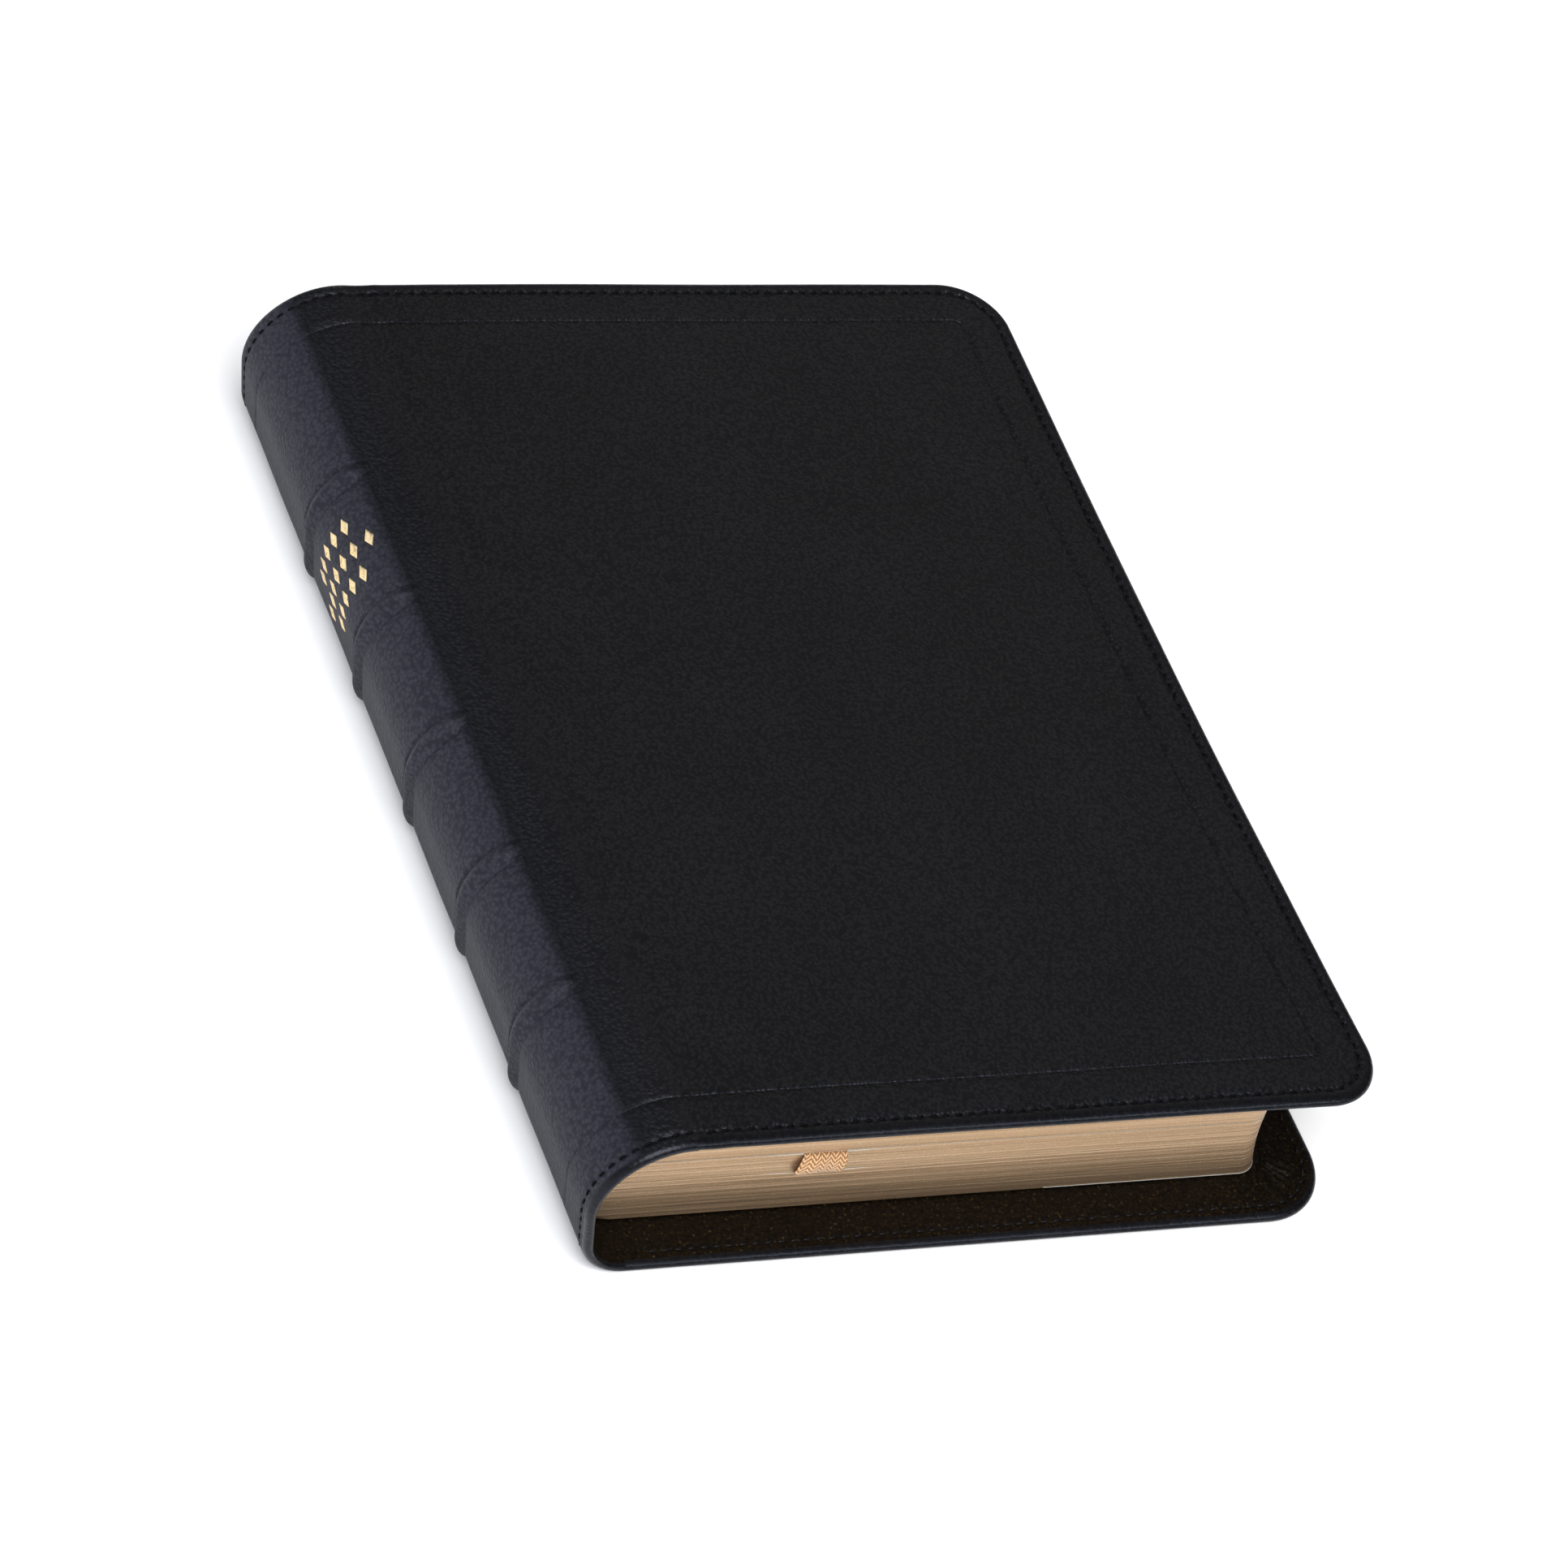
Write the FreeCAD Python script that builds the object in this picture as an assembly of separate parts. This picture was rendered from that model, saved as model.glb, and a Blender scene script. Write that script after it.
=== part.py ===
"""Limp-leather book, closed, lying on its back cover.

Frame: +X towards the fore-edge, +Y towards the head, +Z up from the back
cover to the front cover. The origin is the middle of the footprint, on the
resting face. All lengths are in millimetres.
"""
import FreeCAD, Part
import math
import os

V = FreeCAD.Vector

# ---- driving dimensions -------------------------------------------------
HEIGHT = 200.0              # head to tail, over the covers
THICKNESS = 33.5            # outside of back cover to outside of front cover
HALF_WIDTH = 76.0           # raised-band crests and back fore-edge are at -/+ this
FRONT_SET_BACK = 2.8        # the front fore-edge stops short of the back one

COVER_THICKNESS = 2.0       # leather, board and turn-in or lining together
SKIN_THICKNESS = 0.8        # cover leather outside the board
BOARD_THICKNESS = 0.7
FRONT_CORNER_RADIUS = 12.0
BACK_CORNER_RADIUS = 14.0
EDGE_ROLL = 0.9             # rounding of the turned leather edge
BOARD_INSET = 4.0           # leather edge to board edge
TURN_IN_WIDTH = 10.0        # leather edge to lining edge
BOARD_HINGE_SETBACK = 5.0   # limp strip beside the hinge has no board

STITCH_INSET = 2.8
STITCH_WIDTH = 0.5
STITCH_DEPTH = 0.35
RULE_INSET = 10.3           # blind-tooled line
RULE_WIDTH = 0.5
RULE_DEPTH = 0.15

BAND_RISE = 0.8             # raised bands stand this far off the spine
BAND_COUNT = 5
BAND_PITCH = 29.6
FIRST_BAND_Y = 56.9
BAND_WIDTH = 5.0
BAND_CORE_WIDTH = 3.0
BAND_CORE_COVER = 0.3       # core sits this far below the plain spine surface
BAND_END_ANGLE = 42.0       # bands stop this far before the flat of each cover

FRONT_SHOULDER_RADIUS = 15.0
BACK_SHOULDER_RADIUS = 10.0
SPINE_LEAN = 2.2            # back shoulder lies this far inside the front one
SPINE_SKIN = 1.3
SPINE_INLAY = 0.6
SPINE_MULL = 0.3
INLAY_END_INSET = 4.0
MULL_END_INSET = 12.0
LINING_HINGE_SETBACK = 2.5

HINGE_X = -59.5             # hinge lines of both covers
HINGE_GAP = 0.2             # each side of a hinge line
SPLIT_Z = THICKNESS / 2     # the book opens at the ribbon here
SPINE_SPLIT_GAP = 0.3

BLOCK_CLEARANCE = 2.4       # page block inside the outer surface of the case
BLOCK_OVERHANG = 9.7        # covers past the block at head and tail
BLOCK_FORE_OVERHANG = 12.6
BLOCK_FORE_HOLLOW = 2.0     # depth of the hollow of the fore-edge
BLOCK_CORNER_RADIUS = 4.5
SIGNATURES_PER_HALF = 12

RIBBON_WIDTH = 8.0
RIBBON_THICKNESS = 0.25
RIBBON_TAIL_X = -27.6       # where it leaves the tail
RIBBON_HEAD_X = -64.0       # where it is glued at the spine
RIBBON_TUCK_LENGTH = 36.0
RIBBON_HEAD_INSET = 1.0     # glued end to the head of the block
RIBBON_PLAY = 0.1           # room over the ribbon, under the leaf
SIGNATURES_UNDER_TUCK = 8
LEAF_THICKNESS = 0.12
LEAF_GAP = 0.05
LEAF_SPINE_GAP = 1.2        # leaf root to the back of the block

FOIL_THICKNESS = 0.12
FOIL_ROW_PITCH = 5.6
FOIL_ROWS = (5, 7, 5)       # lozenges in each row, from the head
FOIL_LOZENGE = (0.95, 2.1)  # half width across the spine, half height along it
FOIL_LOZENGE_PITCH = 3.2

# ---- derived positions --------------------------------------------------
HALF_HEIGHT = HEIGHT / 2
SPINE_X = -HALF_WIDTH + BAND_RISE
BACK_FORE_X = HALF_WIDTH
FRONT_FORE_X = HALF_WIDTH - FRONT_SET_BACK
FRONT_SHOULDER = (SPINE_X + FRONT_SHOULDER_RADIUS, THICKNESS - FRONT_SHOULDER_RADIUS)
BACK_SHOULDER = (SPINE_X + SPINE_LEAN + BACK_SHOULDER_RADIUS, BACK_SHOULDER_RADIUS)
BLOCK_HALF_HEIGHT = HALF_HEIGHT - BLOCK_OVERHANG
REAR_BLOCK_TOP = SPLIT_Z - RIBBON_PLAY - RIBBON_THICKNESS
RIBBON_TOP = REAR_BLOCK_TOP + RIBBON_THICKNESS
LEAF_TOP = RIBBON_TOP + LEAF_GAP + LEAF_THICKNESS
FRONT_BLOCK_BOTTOM = LEAF_TOP + LEAF_GAP
SPINE_TITLE_Y = FIRST_BAND_Y - BAND_PITCH / 2
FOIL_MIDDLE_Z = SPLIT_Z + FOIL_LOZENGE_PITCH / 2    # the split runs between two lozenges
FAR = 400.0                 # half size of cutting boxes
ON_FACE = 1e-3              # how close counts as lying on a face


def tangent_angle():
    """Direction of the outward normal of the straight between the shoulders."""
    dx = FRONT_SHOULDER[0] - BACK_SHOULDER[0]
    dz = FRONT_SHOULDER[1] - BACK_SHOULDER[1]
    turn = math.acos((BACK_SHOULDER_RADIUS - FRONT_SHOULDER_RADIUS) / math.hypot(dx, dz))
    return math.atan2(dz, dx) + turn


def on_circle(centre, radius, angle, y=0.0):
    return V(centre[0] + radius * math.cos(angle), y, centre[1] + radius * math.sin(angle))


def shoulder_arc(centre, radius, start, end):
    points = [on_circle(centre, radius, start + (end - start) * t) for t in (0.0, 0.5, 1.0)]
    return Part.Arc(*points).toShape()


def spine_path(offset, x_end, trim_angle=0.0):
    """Edges of the spine profile, front to back, offset inwards.

    With trim_angle the path stops on the shoulders, before the flats.
    """
    normal = tangent_angle()
    front_radius = FRONT_SHOULDER_RADIUS - offset
    back_radius = BACK_SHOULDER_RADIUS - offset
    trim = math.radians(trim_angle)
    front_start = math.pi / 2 + trim
    back_end = 3 * math.pi / 2 - trim
    edges = [
        shoulder_arc(FRONT_SHOULDER, front_radius, front_start, normal),
        Part.makeLine(on_circle(FRONT_SHOULDER, front_radius, normal),
                      on_circle(BACK_SHOULDER, back_radius, normal)),
        shoulder_arc(BACK_SHOULDER, back_radius, normal, back_end),
    ]
    if trim_angle:
        return edges
    top = THICKNESS - offset
    first = Part.makeLine(V(x_end, 0, top), V(FRONT_SHOULDER[0], 0, top))
    last = Part.makeLine(V(BACK_SHOULDER[0], 0, offset), V(x_end, 0, offset))
    return [first] + edges + [last]


def spine_shell(outer, inner, half_length):
    """Layer of the spine between two offsets, symmetrical about Y = 0."""
    x_end = HINGE_X - HINGE_GAP
    edges = spine_path(outer, x_end) + spine_path(inner, x_end)
    edges.append(Part.makeLine(V(x_end, 0, outer), V(x_end, 0, inner)))
    edges.append(Part.makeLine(V(x_end, 0, THICKNESS - outer), V(x_end, 0, THICKNESS - inner)))
    face = Part.Face(Part.Wire(Part.__sortEdges__(edges)))
    shell = face.extrude(V(0, 2 * half_length, 0))
    shell.translate(V(0, -half_length, 0))
    return shell


def box(x0, x1, y0, y1, z0, z1):
    return Part.makeBox(x1 - x0, y1 - y0, z1 - z0, V(x0, y0, z0))


def front_part(shape):
    return shape.common(box(-FAR, FAR, -FAR, FAR, SPLIT_Z + SPINE_SPLIT_GAP / 2, FAR))


def back_part(shape):
    return shape.common(box(-FAR, FAR, -FAR, FAR, -FAR, SPLIT_Z - SPINE_SPLIT_GAP / 2))


def plate(x0, x1, half_height, radius, z0, z1):
    """Flat sheet, square at x0 and with two rounded corners at x1."""
    bend = radius * (1 - math.sqrt(0.5))
    a, b = V(x0, -half_height, z0), V(x1 - radius, -half_height, z0)
    c, d = V(x1, -half_height + radius, z0), V(x1, half_height - radius, z0)
    e, f = V(x1 - radius, half_height, z0), V(x0, half_height, z0)
    low = Part.Arc(b, V(x1 - bend, -half_height + bend, z0), c).toShape()
    high = Part.Arc(d, V(x1 - bend, half_height - bend, z0), e).toShape()
    edges = [Part.makeLine(a, b), low, Part.makeLine(c, d), high,
             Part.makeLine(e, f), Part.makeLine(f, a)]
    return Part.Face(Part.Wire(edges)).extrude(V(0, 0, z1 - z0))


def cover_plate(fore_x, radius, inset, z0, z1, hinge_setback=0.0):
    return plate(HINGE_X + HINGE_GAP + hinge_setback, fore_x - inset,
                 HALF_HEIGHT - inset, radius - inset, z0, z1)


def line_round(fore_x, radius, inset, width, z0, z1):
    """Narrow line that runs along the three free sides of a cover."""
    outside = cover_plate(fore_x, radius, inset - width / 2, z0, z1)
    inside = cover_plate(fore_x, radius, inset + width / 2, z0, z1)
    return outside.cut(inside)


def rolled(solid, z_faces):
    """Round the long edges of the turned leather, except along the hinge."""
    hinge_x = HINGE_X + HINGE_GAP
    edges = []
    for edge in solid.Edges:
        box_of = edge.BoundBox
        away = min(abs(box_of.ZMin - z) for z in z_faces)
        if box_of.ZLength < ON_FACE and away < ON_FACE and box_of.XMax > hinge_x + ON_FACE:
            edges.append(edge)
    return solid.makeFillet(EDGE_ROLL, edges)


def cover(fore_x, radius, outside_z, inward):
    """Solids of one cover. inward is +1 for the back cover, -1 for the front."""
    def level(depth_a, depth_b):
        return sorted((outside_z + inward * depth_a, outside_z + inward * depth_b))

    skin_end = SKIN_THICKNESS
    board_end = SKIN_THICKNESS + BOARD_THICKNESS
    whole = level(0, COVER_THICKNESS)
    leather = rolled(cover_plate(fore_x, radius, 0, *whole), whole)
    board = cover_plate(fore_x, radius, BOARD_INSET, *level(skin_end, board_end),
                        hinge_setback=BOARD_HINGE_SETBACK)
    lining = cover_plate(fore_x, radius, TURN_IN_WIDTH,
                         *level(board_end, COVER_THICKNESS),
                         hinge_setback=LINING_HINGE_SETBACK)
    outer_thread = line_round(fore_x, radius, STITCH_INSET, STITCH_WIDTH,
                              *level(0, STITCH_DEPTH))
    inner_thread = line_round(fore_x, radius, STITCH_INSET, STITCH_WIDTH,
                              *level(COVER_THICKNESS - STITCH_DEPTH, COVER_THICKNESS))
    rule = line_round(fore_x, radius, RULE_INSET, RULE_WIDTH, *level(0, RULE_DEPTH))
    leather = leather.cut([board, lining, outer_thread, inner_thread, rule])
    return leather, board, lining, outer_thread, inner_thread


def band_centres():
    return [FIRST_BAND_Y - BAND_PITCH * i for i in range(BAND_COUNT)]


def band_sweep(y, width, base, crest):
    """Low rounded ridge round the spine, from offset base out to offset crest."""
    path = Part.Wire(spine_path(base, HINGE_X, BAND_END_ANGLE))
    path.translate(V(0, y, 0))
    start = math.pi / 2 + math.radians(BAND_END_ANGLE)
    foot = on_circle(FRONT_SHOULDER, FRONT_SHOULDER_RADIUS - base, start, y)
    top = on_circle(FRONT_SHOULDER, FRONT_SHOULDER_RADIUS - crest, start, y)
    half = V(0, width / 2, 0)
    arc = Part.Arc(foot - half, top, foot + half).toShape()
    section = Part.Wire([arc, Part.makeLine(foot + half, foot - half)])
    return path.makePipeShell([section], True, False)


def lozenge(y, z):
    half_z, half_y = FOIL_LOZENGE
    corners = [V(-FAR, y - half_y, z), V(-FAR, y, z + half_z),
               V(-FAR, y + half_y, z), V(-FAR, y, z - half_z)]
    return Part.Face(Part.makePolygon(corners + corners[:1])).extrude(V(FAR + HINGE_X, 0, 0))


def spine_ornament():
    """Three rows of gold lozenges between the first two bands."""
    layer = spine_shell(0, FOIL_THICKNESS, HALF_HEIGHT)
    prisms = []
    for row, count in enumerate(FOIL_ROWS):
        y = SPINE_TITLE_Y + FOIL_ROW_PITCH * (1 - row)
        for i in range(count):
            z = FOIL_MIDDLE_Z + FOIL_LOZENGE_PITCH * (i - (count - 1) / 2)
            prisms.append(lozenge(y, z).common(layer))
    return Part.makeCompound(prisms)


def spine_rings(inset, width, depth):
    """Narrow line round the spine near the head and near the tail."""
    rings = []
    for y in (HALF_HEIGHT - inset, inset - HALF_HEIGHT):
        ring = spine_shell(0, depth, width / 2)
        ring.translate(V(0, y, 0))
        rings.append(ring)
    return Part.makeCompound(rings)


def spine_leather(cores, thread, rules, ornament):
    skin = spine_shell(0, SPINE_SKIN, HALF_HEIGHT)
    ridges = [band_sweep(y, BAND_WIDTH, BAND_CORE_COVER, -BAND_RISE) for y in band_centres()]
    return skin.fuse(ridges).cut(cores + [thread, rules, ornament])


def page_block():
    """Whole text block: rounded at the spine, hollow at the fore-edge."""
    bottom, top = BLOCK_CLEARANCE, THICKNESS - BLOCK_CLEARANCE
    back_x = BACK_FORE_X - BLOCK_FORE_OVERHANG
    front_x = FRONT_FORE_X - BLOCK_FORE_OVERHANG
    low, high = V(back_x, 0, bottom), V(front_x, 0, top)
    middle = V((back_x + front_x) / 2 - BLOCK_FORE_HOLLOW, 0, SPLIT_Z)
    edges = spine_path(BLOCK_CLEARANCE, HINGE_X)
    edges += [Part.makeLine(V(HINGE_X, 0, bottom), low),
              Part.Arc(low, middle, high).toShape(),
              Part.makeLine(high, V(HINGE_X, 0, top))]
    face = Part.Face(Part.Wire(Part.__sortEdges__(edges)))
    block = face.extrude(V(0, 2 * BLOCK_HALF_HEIGHT, 0))
    block.translate(V(0, -BLOCK_HALF_HEIGHT, 0))
    corners = [e for e in block.Edges
               if e.BoundBox.XMin > 0 and e.BoundBox.ZLength > SPLIT_Z]
    return block.makeFillet(BLOCK_CORNER_RADIUS, corners)


def signature_levels():
    """Bottom and top of every signature, from the back cover up."""
    rear_height = REAR_BLOCK_TOP - BLOCK_CLEARANCE - RIBBON_THICKNESS
    rear_step = rear_height / SIGNATURES_PER_HALF
    front_top = THICKNESS - BLOCK_CLEARANCE
    front_step = (front_top - FRONT_BLOCK_BOTTOM) / SIGNATURES_PER_HALF
    levels = []
    for i in range(SIGNATURES_PER_HALF):
        lift = RIBBON_THICKNESS if i >= SIGNATURES_UNDER_TUCK else 0.0
        z = BLOCK_CLEARANCE + i * rear_step + lift
        levels.append((z, z + rear_step))
    for i in range(SIGNATURES_PER_HALF):
        z = FRONT_BLOCK_BOTTOM + i * front_step
        levels.append((z, z + front_step))
    return levels


def ribbon(levels):
    """Marker from the spine head to the tail, out in a loop and tucked back in."""
    tuck_bottom = levels[SIGNATURES_UNDER_TUCK - 1][1]
    tuck_top = tuck_bottom + RIBBON_THICKNESS
    tail_y = -BLOCK_HALF_HEIGHT
    half = RIBBON_WIDTH / 2
    head_y = BLOCK_HALF_HEIGHT - RIBBON_HEAD_INSET
    run = [V(RIBBON_HEAD_X - half, head_y, REAR_BLOCK_TOP),
           V(RIBBON_HEAD_X + half, head_y, REAR_BLOCK_TOP),
           V(RIBBON_TAIL_X + half, tail_y, REAR_BLOCK_TOP),
           V(RIBBON_TAIL_X - half, tail_y, REAR_BLOCK_TOP)]
    flat = Part.Face(Part.makePolygon(run + run[:1])).extrude(V(0, 0, RIBBON_THICKNESS))
    x0, x1 = RIBBON_TAIL_X - half, RIBBON_TAIL_X + half
    tuck = box(x0, x1, tail_y, tail_y + RIBBON_TUCK_LENGTH, tuck_bottom, tuck_top)
    centre_z = (RIBBON_TOP + tuck_bottom) / 2
    outer = (RIBBON_TOP - tuck_bottom) / 2
    axis = V(1, 0, 0)
    loop = Part.makeCylinder(outer, RIBBON_WIDTH, V(x0, tail_y, centre_z), axis)
    hollow = Part.makeCylinder(outer - RIBBON_THICKNESS, RIBBON_WIDTH,
                               V(x0, tail_y, centre_z), axis)
    loop = loop.cut(hollow).common(box(x0, x1, -FAR, tail_y, -FAR, FAR))
    return flat.fuse([loop, tuck]).removeSplitter()


def marked_leaf():
    """The single leaf that lies on the ribbon."""
    root_x = SPINE_X + BLOCK_CLEARANCE + LEAF_SPINE_GAP
    fore_x = (BACK_FORE_X + FRONT_FORE_X) / 2 - BLOCK_FORE_OVERHANG - BLOCK_FORE_HOLLOW
    return plate(root_x, fore_x, BLOCK_HALF_HEIGHT, BLOCK_CORNER_RADIUS,
                 RIBBON_TOP + LEAF_GAP, LEAF_TOP)


def build():
    nodes = {}
    covers = {"front": (FRONT_FORE_X, FRONT_CORNER_RADIUS, THICKNESS, -1),
              "back": (BACK_FORE_X, BACK_CORNER_RADIUS, 0.0, 1)}
    pieces = ("cover_leather", "board", "lining", "needle_thread", "bobbin_thread")
    for side, shape in covers.items():
        for piece, solid in zip(pieces, cover(*shape)):
            nodes[side + "_" + piece] = solid

    cores = [band_sweep(y, BAND_CORE_WIDTH, SPINE_SKIN, BAND_CORE_COVER)
             for y in band_centres()]
    thread = spine_rings(STITCH_INSET, STITCH_WIDTH, STITCH_DEPTH)
    rules = spine_rings(RULE_INSET, RULE_WIDTH, RULE_DEPTH)
    ornament = spine_ornament()
    inlay_end = SPINE_SKIN + SPINE_INLAY
    layers = {
        "spine_leather": spine_leather(cores, thread, rules, ornament),
        "spine_inlay": spine_shell(SPINE_SKIN, inlay_end, HALF_HEIGHT - INLAY_END_INSET),
        "spine_mull": spine_shell(inlay_end, inlay_end + SPINE_MULL,
                                  HALF_HEIGHT - MULL_END_INSET),
        "spine_thread": thread,
        "spine_ornament": ornament,
    }
    for i, core in enumerate(cores):
        layers["raised_band_%d" % (i + 1)] = core
    for name, solid in layers.items():
        nodes[name + "_front"] = front_part(solid)
        nodes[name + "_back"] = back_part(solid)

    levels = signature_levels()
    block = page_block()
    for i, (z0, z1) in enumerate(levels):
        nodes["signature_%02d" % (i + 1)] = block.common(box(-FAR, FAR, -FAR, FAR, z0, z1))
    nodes["ribbon_marker"] = ribbon(levels)
    nodes["marked_leaf"] = marked_leaf()
    return nodes


os.makedirs("parts", exist_ok=True)
for node, solid in build().items():
    solid.exportStep("parts/" + node + ".step")
    print(node, len(solid.Solids), "solid(s)", round(solid.Volume, 1), "mm3",
          "valid" if solid.isValid() else "INVALID")
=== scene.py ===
"""Looks of the limp-leather book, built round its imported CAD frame.

Lengths are in millimetres, or metres where said, in the CAD's frame: +X towards the
fore-edge, +Y towards the head, +Z up from the back cover to the front cover.
"""
import bmesh
import bpy
import math
import numpy as np
from mathutils import Matrix, Vector


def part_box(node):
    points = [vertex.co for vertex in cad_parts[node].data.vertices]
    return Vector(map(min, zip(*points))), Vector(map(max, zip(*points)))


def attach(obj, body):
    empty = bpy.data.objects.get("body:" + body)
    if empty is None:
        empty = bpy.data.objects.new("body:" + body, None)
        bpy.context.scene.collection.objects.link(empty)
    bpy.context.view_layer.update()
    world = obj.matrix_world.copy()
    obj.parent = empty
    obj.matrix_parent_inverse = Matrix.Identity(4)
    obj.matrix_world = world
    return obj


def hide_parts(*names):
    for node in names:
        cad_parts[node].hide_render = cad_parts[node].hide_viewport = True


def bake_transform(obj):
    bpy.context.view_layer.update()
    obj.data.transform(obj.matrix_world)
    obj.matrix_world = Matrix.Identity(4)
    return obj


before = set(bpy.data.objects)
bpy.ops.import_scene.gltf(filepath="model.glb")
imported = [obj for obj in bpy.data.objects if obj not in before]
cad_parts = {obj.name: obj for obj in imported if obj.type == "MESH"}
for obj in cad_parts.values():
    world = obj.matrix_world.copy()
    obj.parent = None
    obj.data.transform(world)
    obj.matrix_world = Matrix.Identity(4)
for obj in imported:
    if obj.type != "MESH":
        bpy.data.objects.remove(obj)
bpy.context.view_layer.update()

MM = 0.001


def cad_box(node):
    lo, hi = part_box(node)
    return Vector(lo) / MM, Vector(hi) / MM


# ---- sizes from the CAD frame ----
FRONT_LO, FRONT_HI = cad_box("front_cover_leather")
BACK_HI = cad_box("back_cover_leather")[1]
LEAF_LO, LEAF_HI = cad_box("marked_leaf")
SPINE_LO_X = cad_box("spine_leather_front")[0].x
RIBBON_LO_X = cad_box("ribbon_marker")[0].x
REAR_TOP = cad_box("signature_12")[1].z
FRONT_BOTTOM = cad_box("signature_13")[0].z
BLOCK_BOTTOM = cad_box("signature_01")[0].z
BLOCK_TOP = cad_box("signature_24")[1].z
TUCK_BOTTOM = cad_box("signature_08")[1].z
BLOCK_HALF = cad_box("signature_01")[1].y
BACK_BLOCK_FORE = cad_box("signature_01")[1].x
FRONT_BLOCK_FORE = cad_box("signature_24")[1].x

HINGE_CLEARANCE = 0.2  # from the hinge line to the CAD's covers
THICKNESS = FRONT_HI.z
HALF_HEIGHT = BACK_HI.y
FRONT_FORE = FRONT_HI.x
BACK_FORE = BACK_HI.x
HINGE_X = FRONT_LO.x - HINGE_CLEARANCE
SPLIT_Z = THICKNESS / 2

# ---- covers ----
# Waves are (height, length); grooves, ridges and creases (distance, width, height).
LEATHER = 2.0  # thickness of a whole cover
TURN_IN = 10.0
FRONT_CORNER = 12.0
BACK_CORNER = 14.0
FRONT_BOW = 1.6  # the limp front fore-edge bends in by this
COVER_WAVE = (0.16, 74.0)
COVER_WAVE_START = 18  # from the hinge to full height
HINGE_GROOVE = (2.2, 2.4, 0.10)
HINGE_RIDGE = (5.6, 1.0, 0.07)
HINGE_ZONE = 8.0  # the finer mesh beside the hinge
HINGE_STATIONS = 34
COVER_STATIONS = 60
CORNER_STEPS = 64
EDGE_WAVE = (0.05, 47.0)
EDGE_WAVE_REACH = 1.0  # inset at which those waves stop
PLEATS = 13  # gathers in half a turn
PLEAT_RISE = 0.5
PLEAT_START = (3.2, 6.5)  # insets between which the gathers rise
PLEAT_END = (9.0, 11.6)  # insets between which they sink
PLEAT_SINK = 0.6  # share of their height that they lose there
PLEATED_DEPTH = 1.9  # only leather deeper than this is gathered
LINED_DEPTH = 1.8  # inside face of the skin where the lining covers it
LINING_DEPTH = 1.75  # of the lining's border, before it rises to its face
LINING_RISE = 0.25
LINING_START = 2.7  # from the hinge line
LINING_CORNER = 1.5  # added to the cover's radius

# ---- spine ----
BAND_RISE = 0.8  # of a raised band in the CAD
BAND_SWELL = 0.78  # the leather over a band, softened at its crest
BAND_HALF_WIDTH = 2.0
BAND_NARROWEST = 0.4  # share of the width that is left at a shoulder
BAND_REACH = 3.4  # the finer mesh beside a band
BAND_STATIONS = 27
BANDS = [56.9 - 29.6 * i for i in range(5)]
HEAD_CREASE = (0.12, 0.27, 0.60)
TAIL_CREASE = (0.45, 0.55, 0.34)
FRONT_BAND_FADE = (8.8, 12.0)  # lengths round the spine over which bands rise
BACK_BAND_FADE = (6.0, 9.0)
SPINE_STATIONS = 90
SPINE_WAVE = (0.07, 31.0)
SPINE_LEAN = 2.2  # the back shoulder is this much further in
SPINE_X = SPINE_LO_X + BAND_RISE
FRONT_SHOULDER = 15.0  # radii
BACK_SHOULDER = 10.0
FRONT_TURN = 22.0  # lengths round the spine over which the painted shade of the black top turns to painted slate light
BACK_TURN = 17.0
INNER_DEPTH = 2.25  # skin, card and cloth of the spine together
INNER_STEP = 6  # the inside keeps one in this many stations
ROLL_DEPTH = 1.5  # inner side of the roll at head and tail
FRONT_CENTRE = np.array([SPINE_X + FRONT_SHOULDER, THICKNESS - FRONT_SHOULDER])
BACK_CENTRE = np.array([SPINE_X + SPINE_LEAN + BACK_SHOULDER, BACK_SHOULDER])

# ---- stitches ----
STITCH_INSET = 2.8
STITCH_START = 1.0  # from the hinge line
STITCH_PITCH = 2.4
STITCH_LENGTH = 1.45
STITCH_RADIUS = 0.24
STITCH_DEPTH = 0.10  # of the thread's middle below the leather
STITCH_SINK = 0.16  # of a stitch's ends
STITCH_SLANT = 0.10  # radians

# ---- pages ----
BLOCK_CORNER = 4.5
BLOCK_CLEARANCE = 2.4  # between the outside of the spine and the pages
FORE_HOLLOW = 2.0
LAYER = 0.16  # height of one row of the mesh, a few leaves
PROUD = 0.012  # spread of how far a layer stands out
LAYER_WAVE = (0.02, 60.0)
LAYER_TWIST = 9  # how fast those waves change from layer to layer
ENDPAPER_ROWS = 1  # bare white leaves next to the back cover
ENDPAPER_PROUD = 0.07
BARE_PAPER_X = 15.0  # the endpaper's white edge shows beyond this
PAGE_SIDE_STEPS = 70
PAGE_CORNER_STEPS = 12
PAGE_FORE_STEPS = 90
PAGE_SPINE_STEPS = 40
TUCK_GAP = 0.25  # left for the ribbon's end between signatures 8 and 9
LOWER_LIP = 0.24  # how far leaves swell into the ribbon's two gaps
UPPER_LIP = 0.29
LIP_FADE = (0.5, 9.0)  # distances from the ribbon over which they do
LIP_SECTION = ((0.0, 1.0), (0.5, 1.0), (0.8, 0.0))  # inset and share of the swell
FOLD_CLEARANCE = 0.05
FOLD_THICKNESS = 0.15
LEAF_CLEARANCE = 0.1

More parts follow.
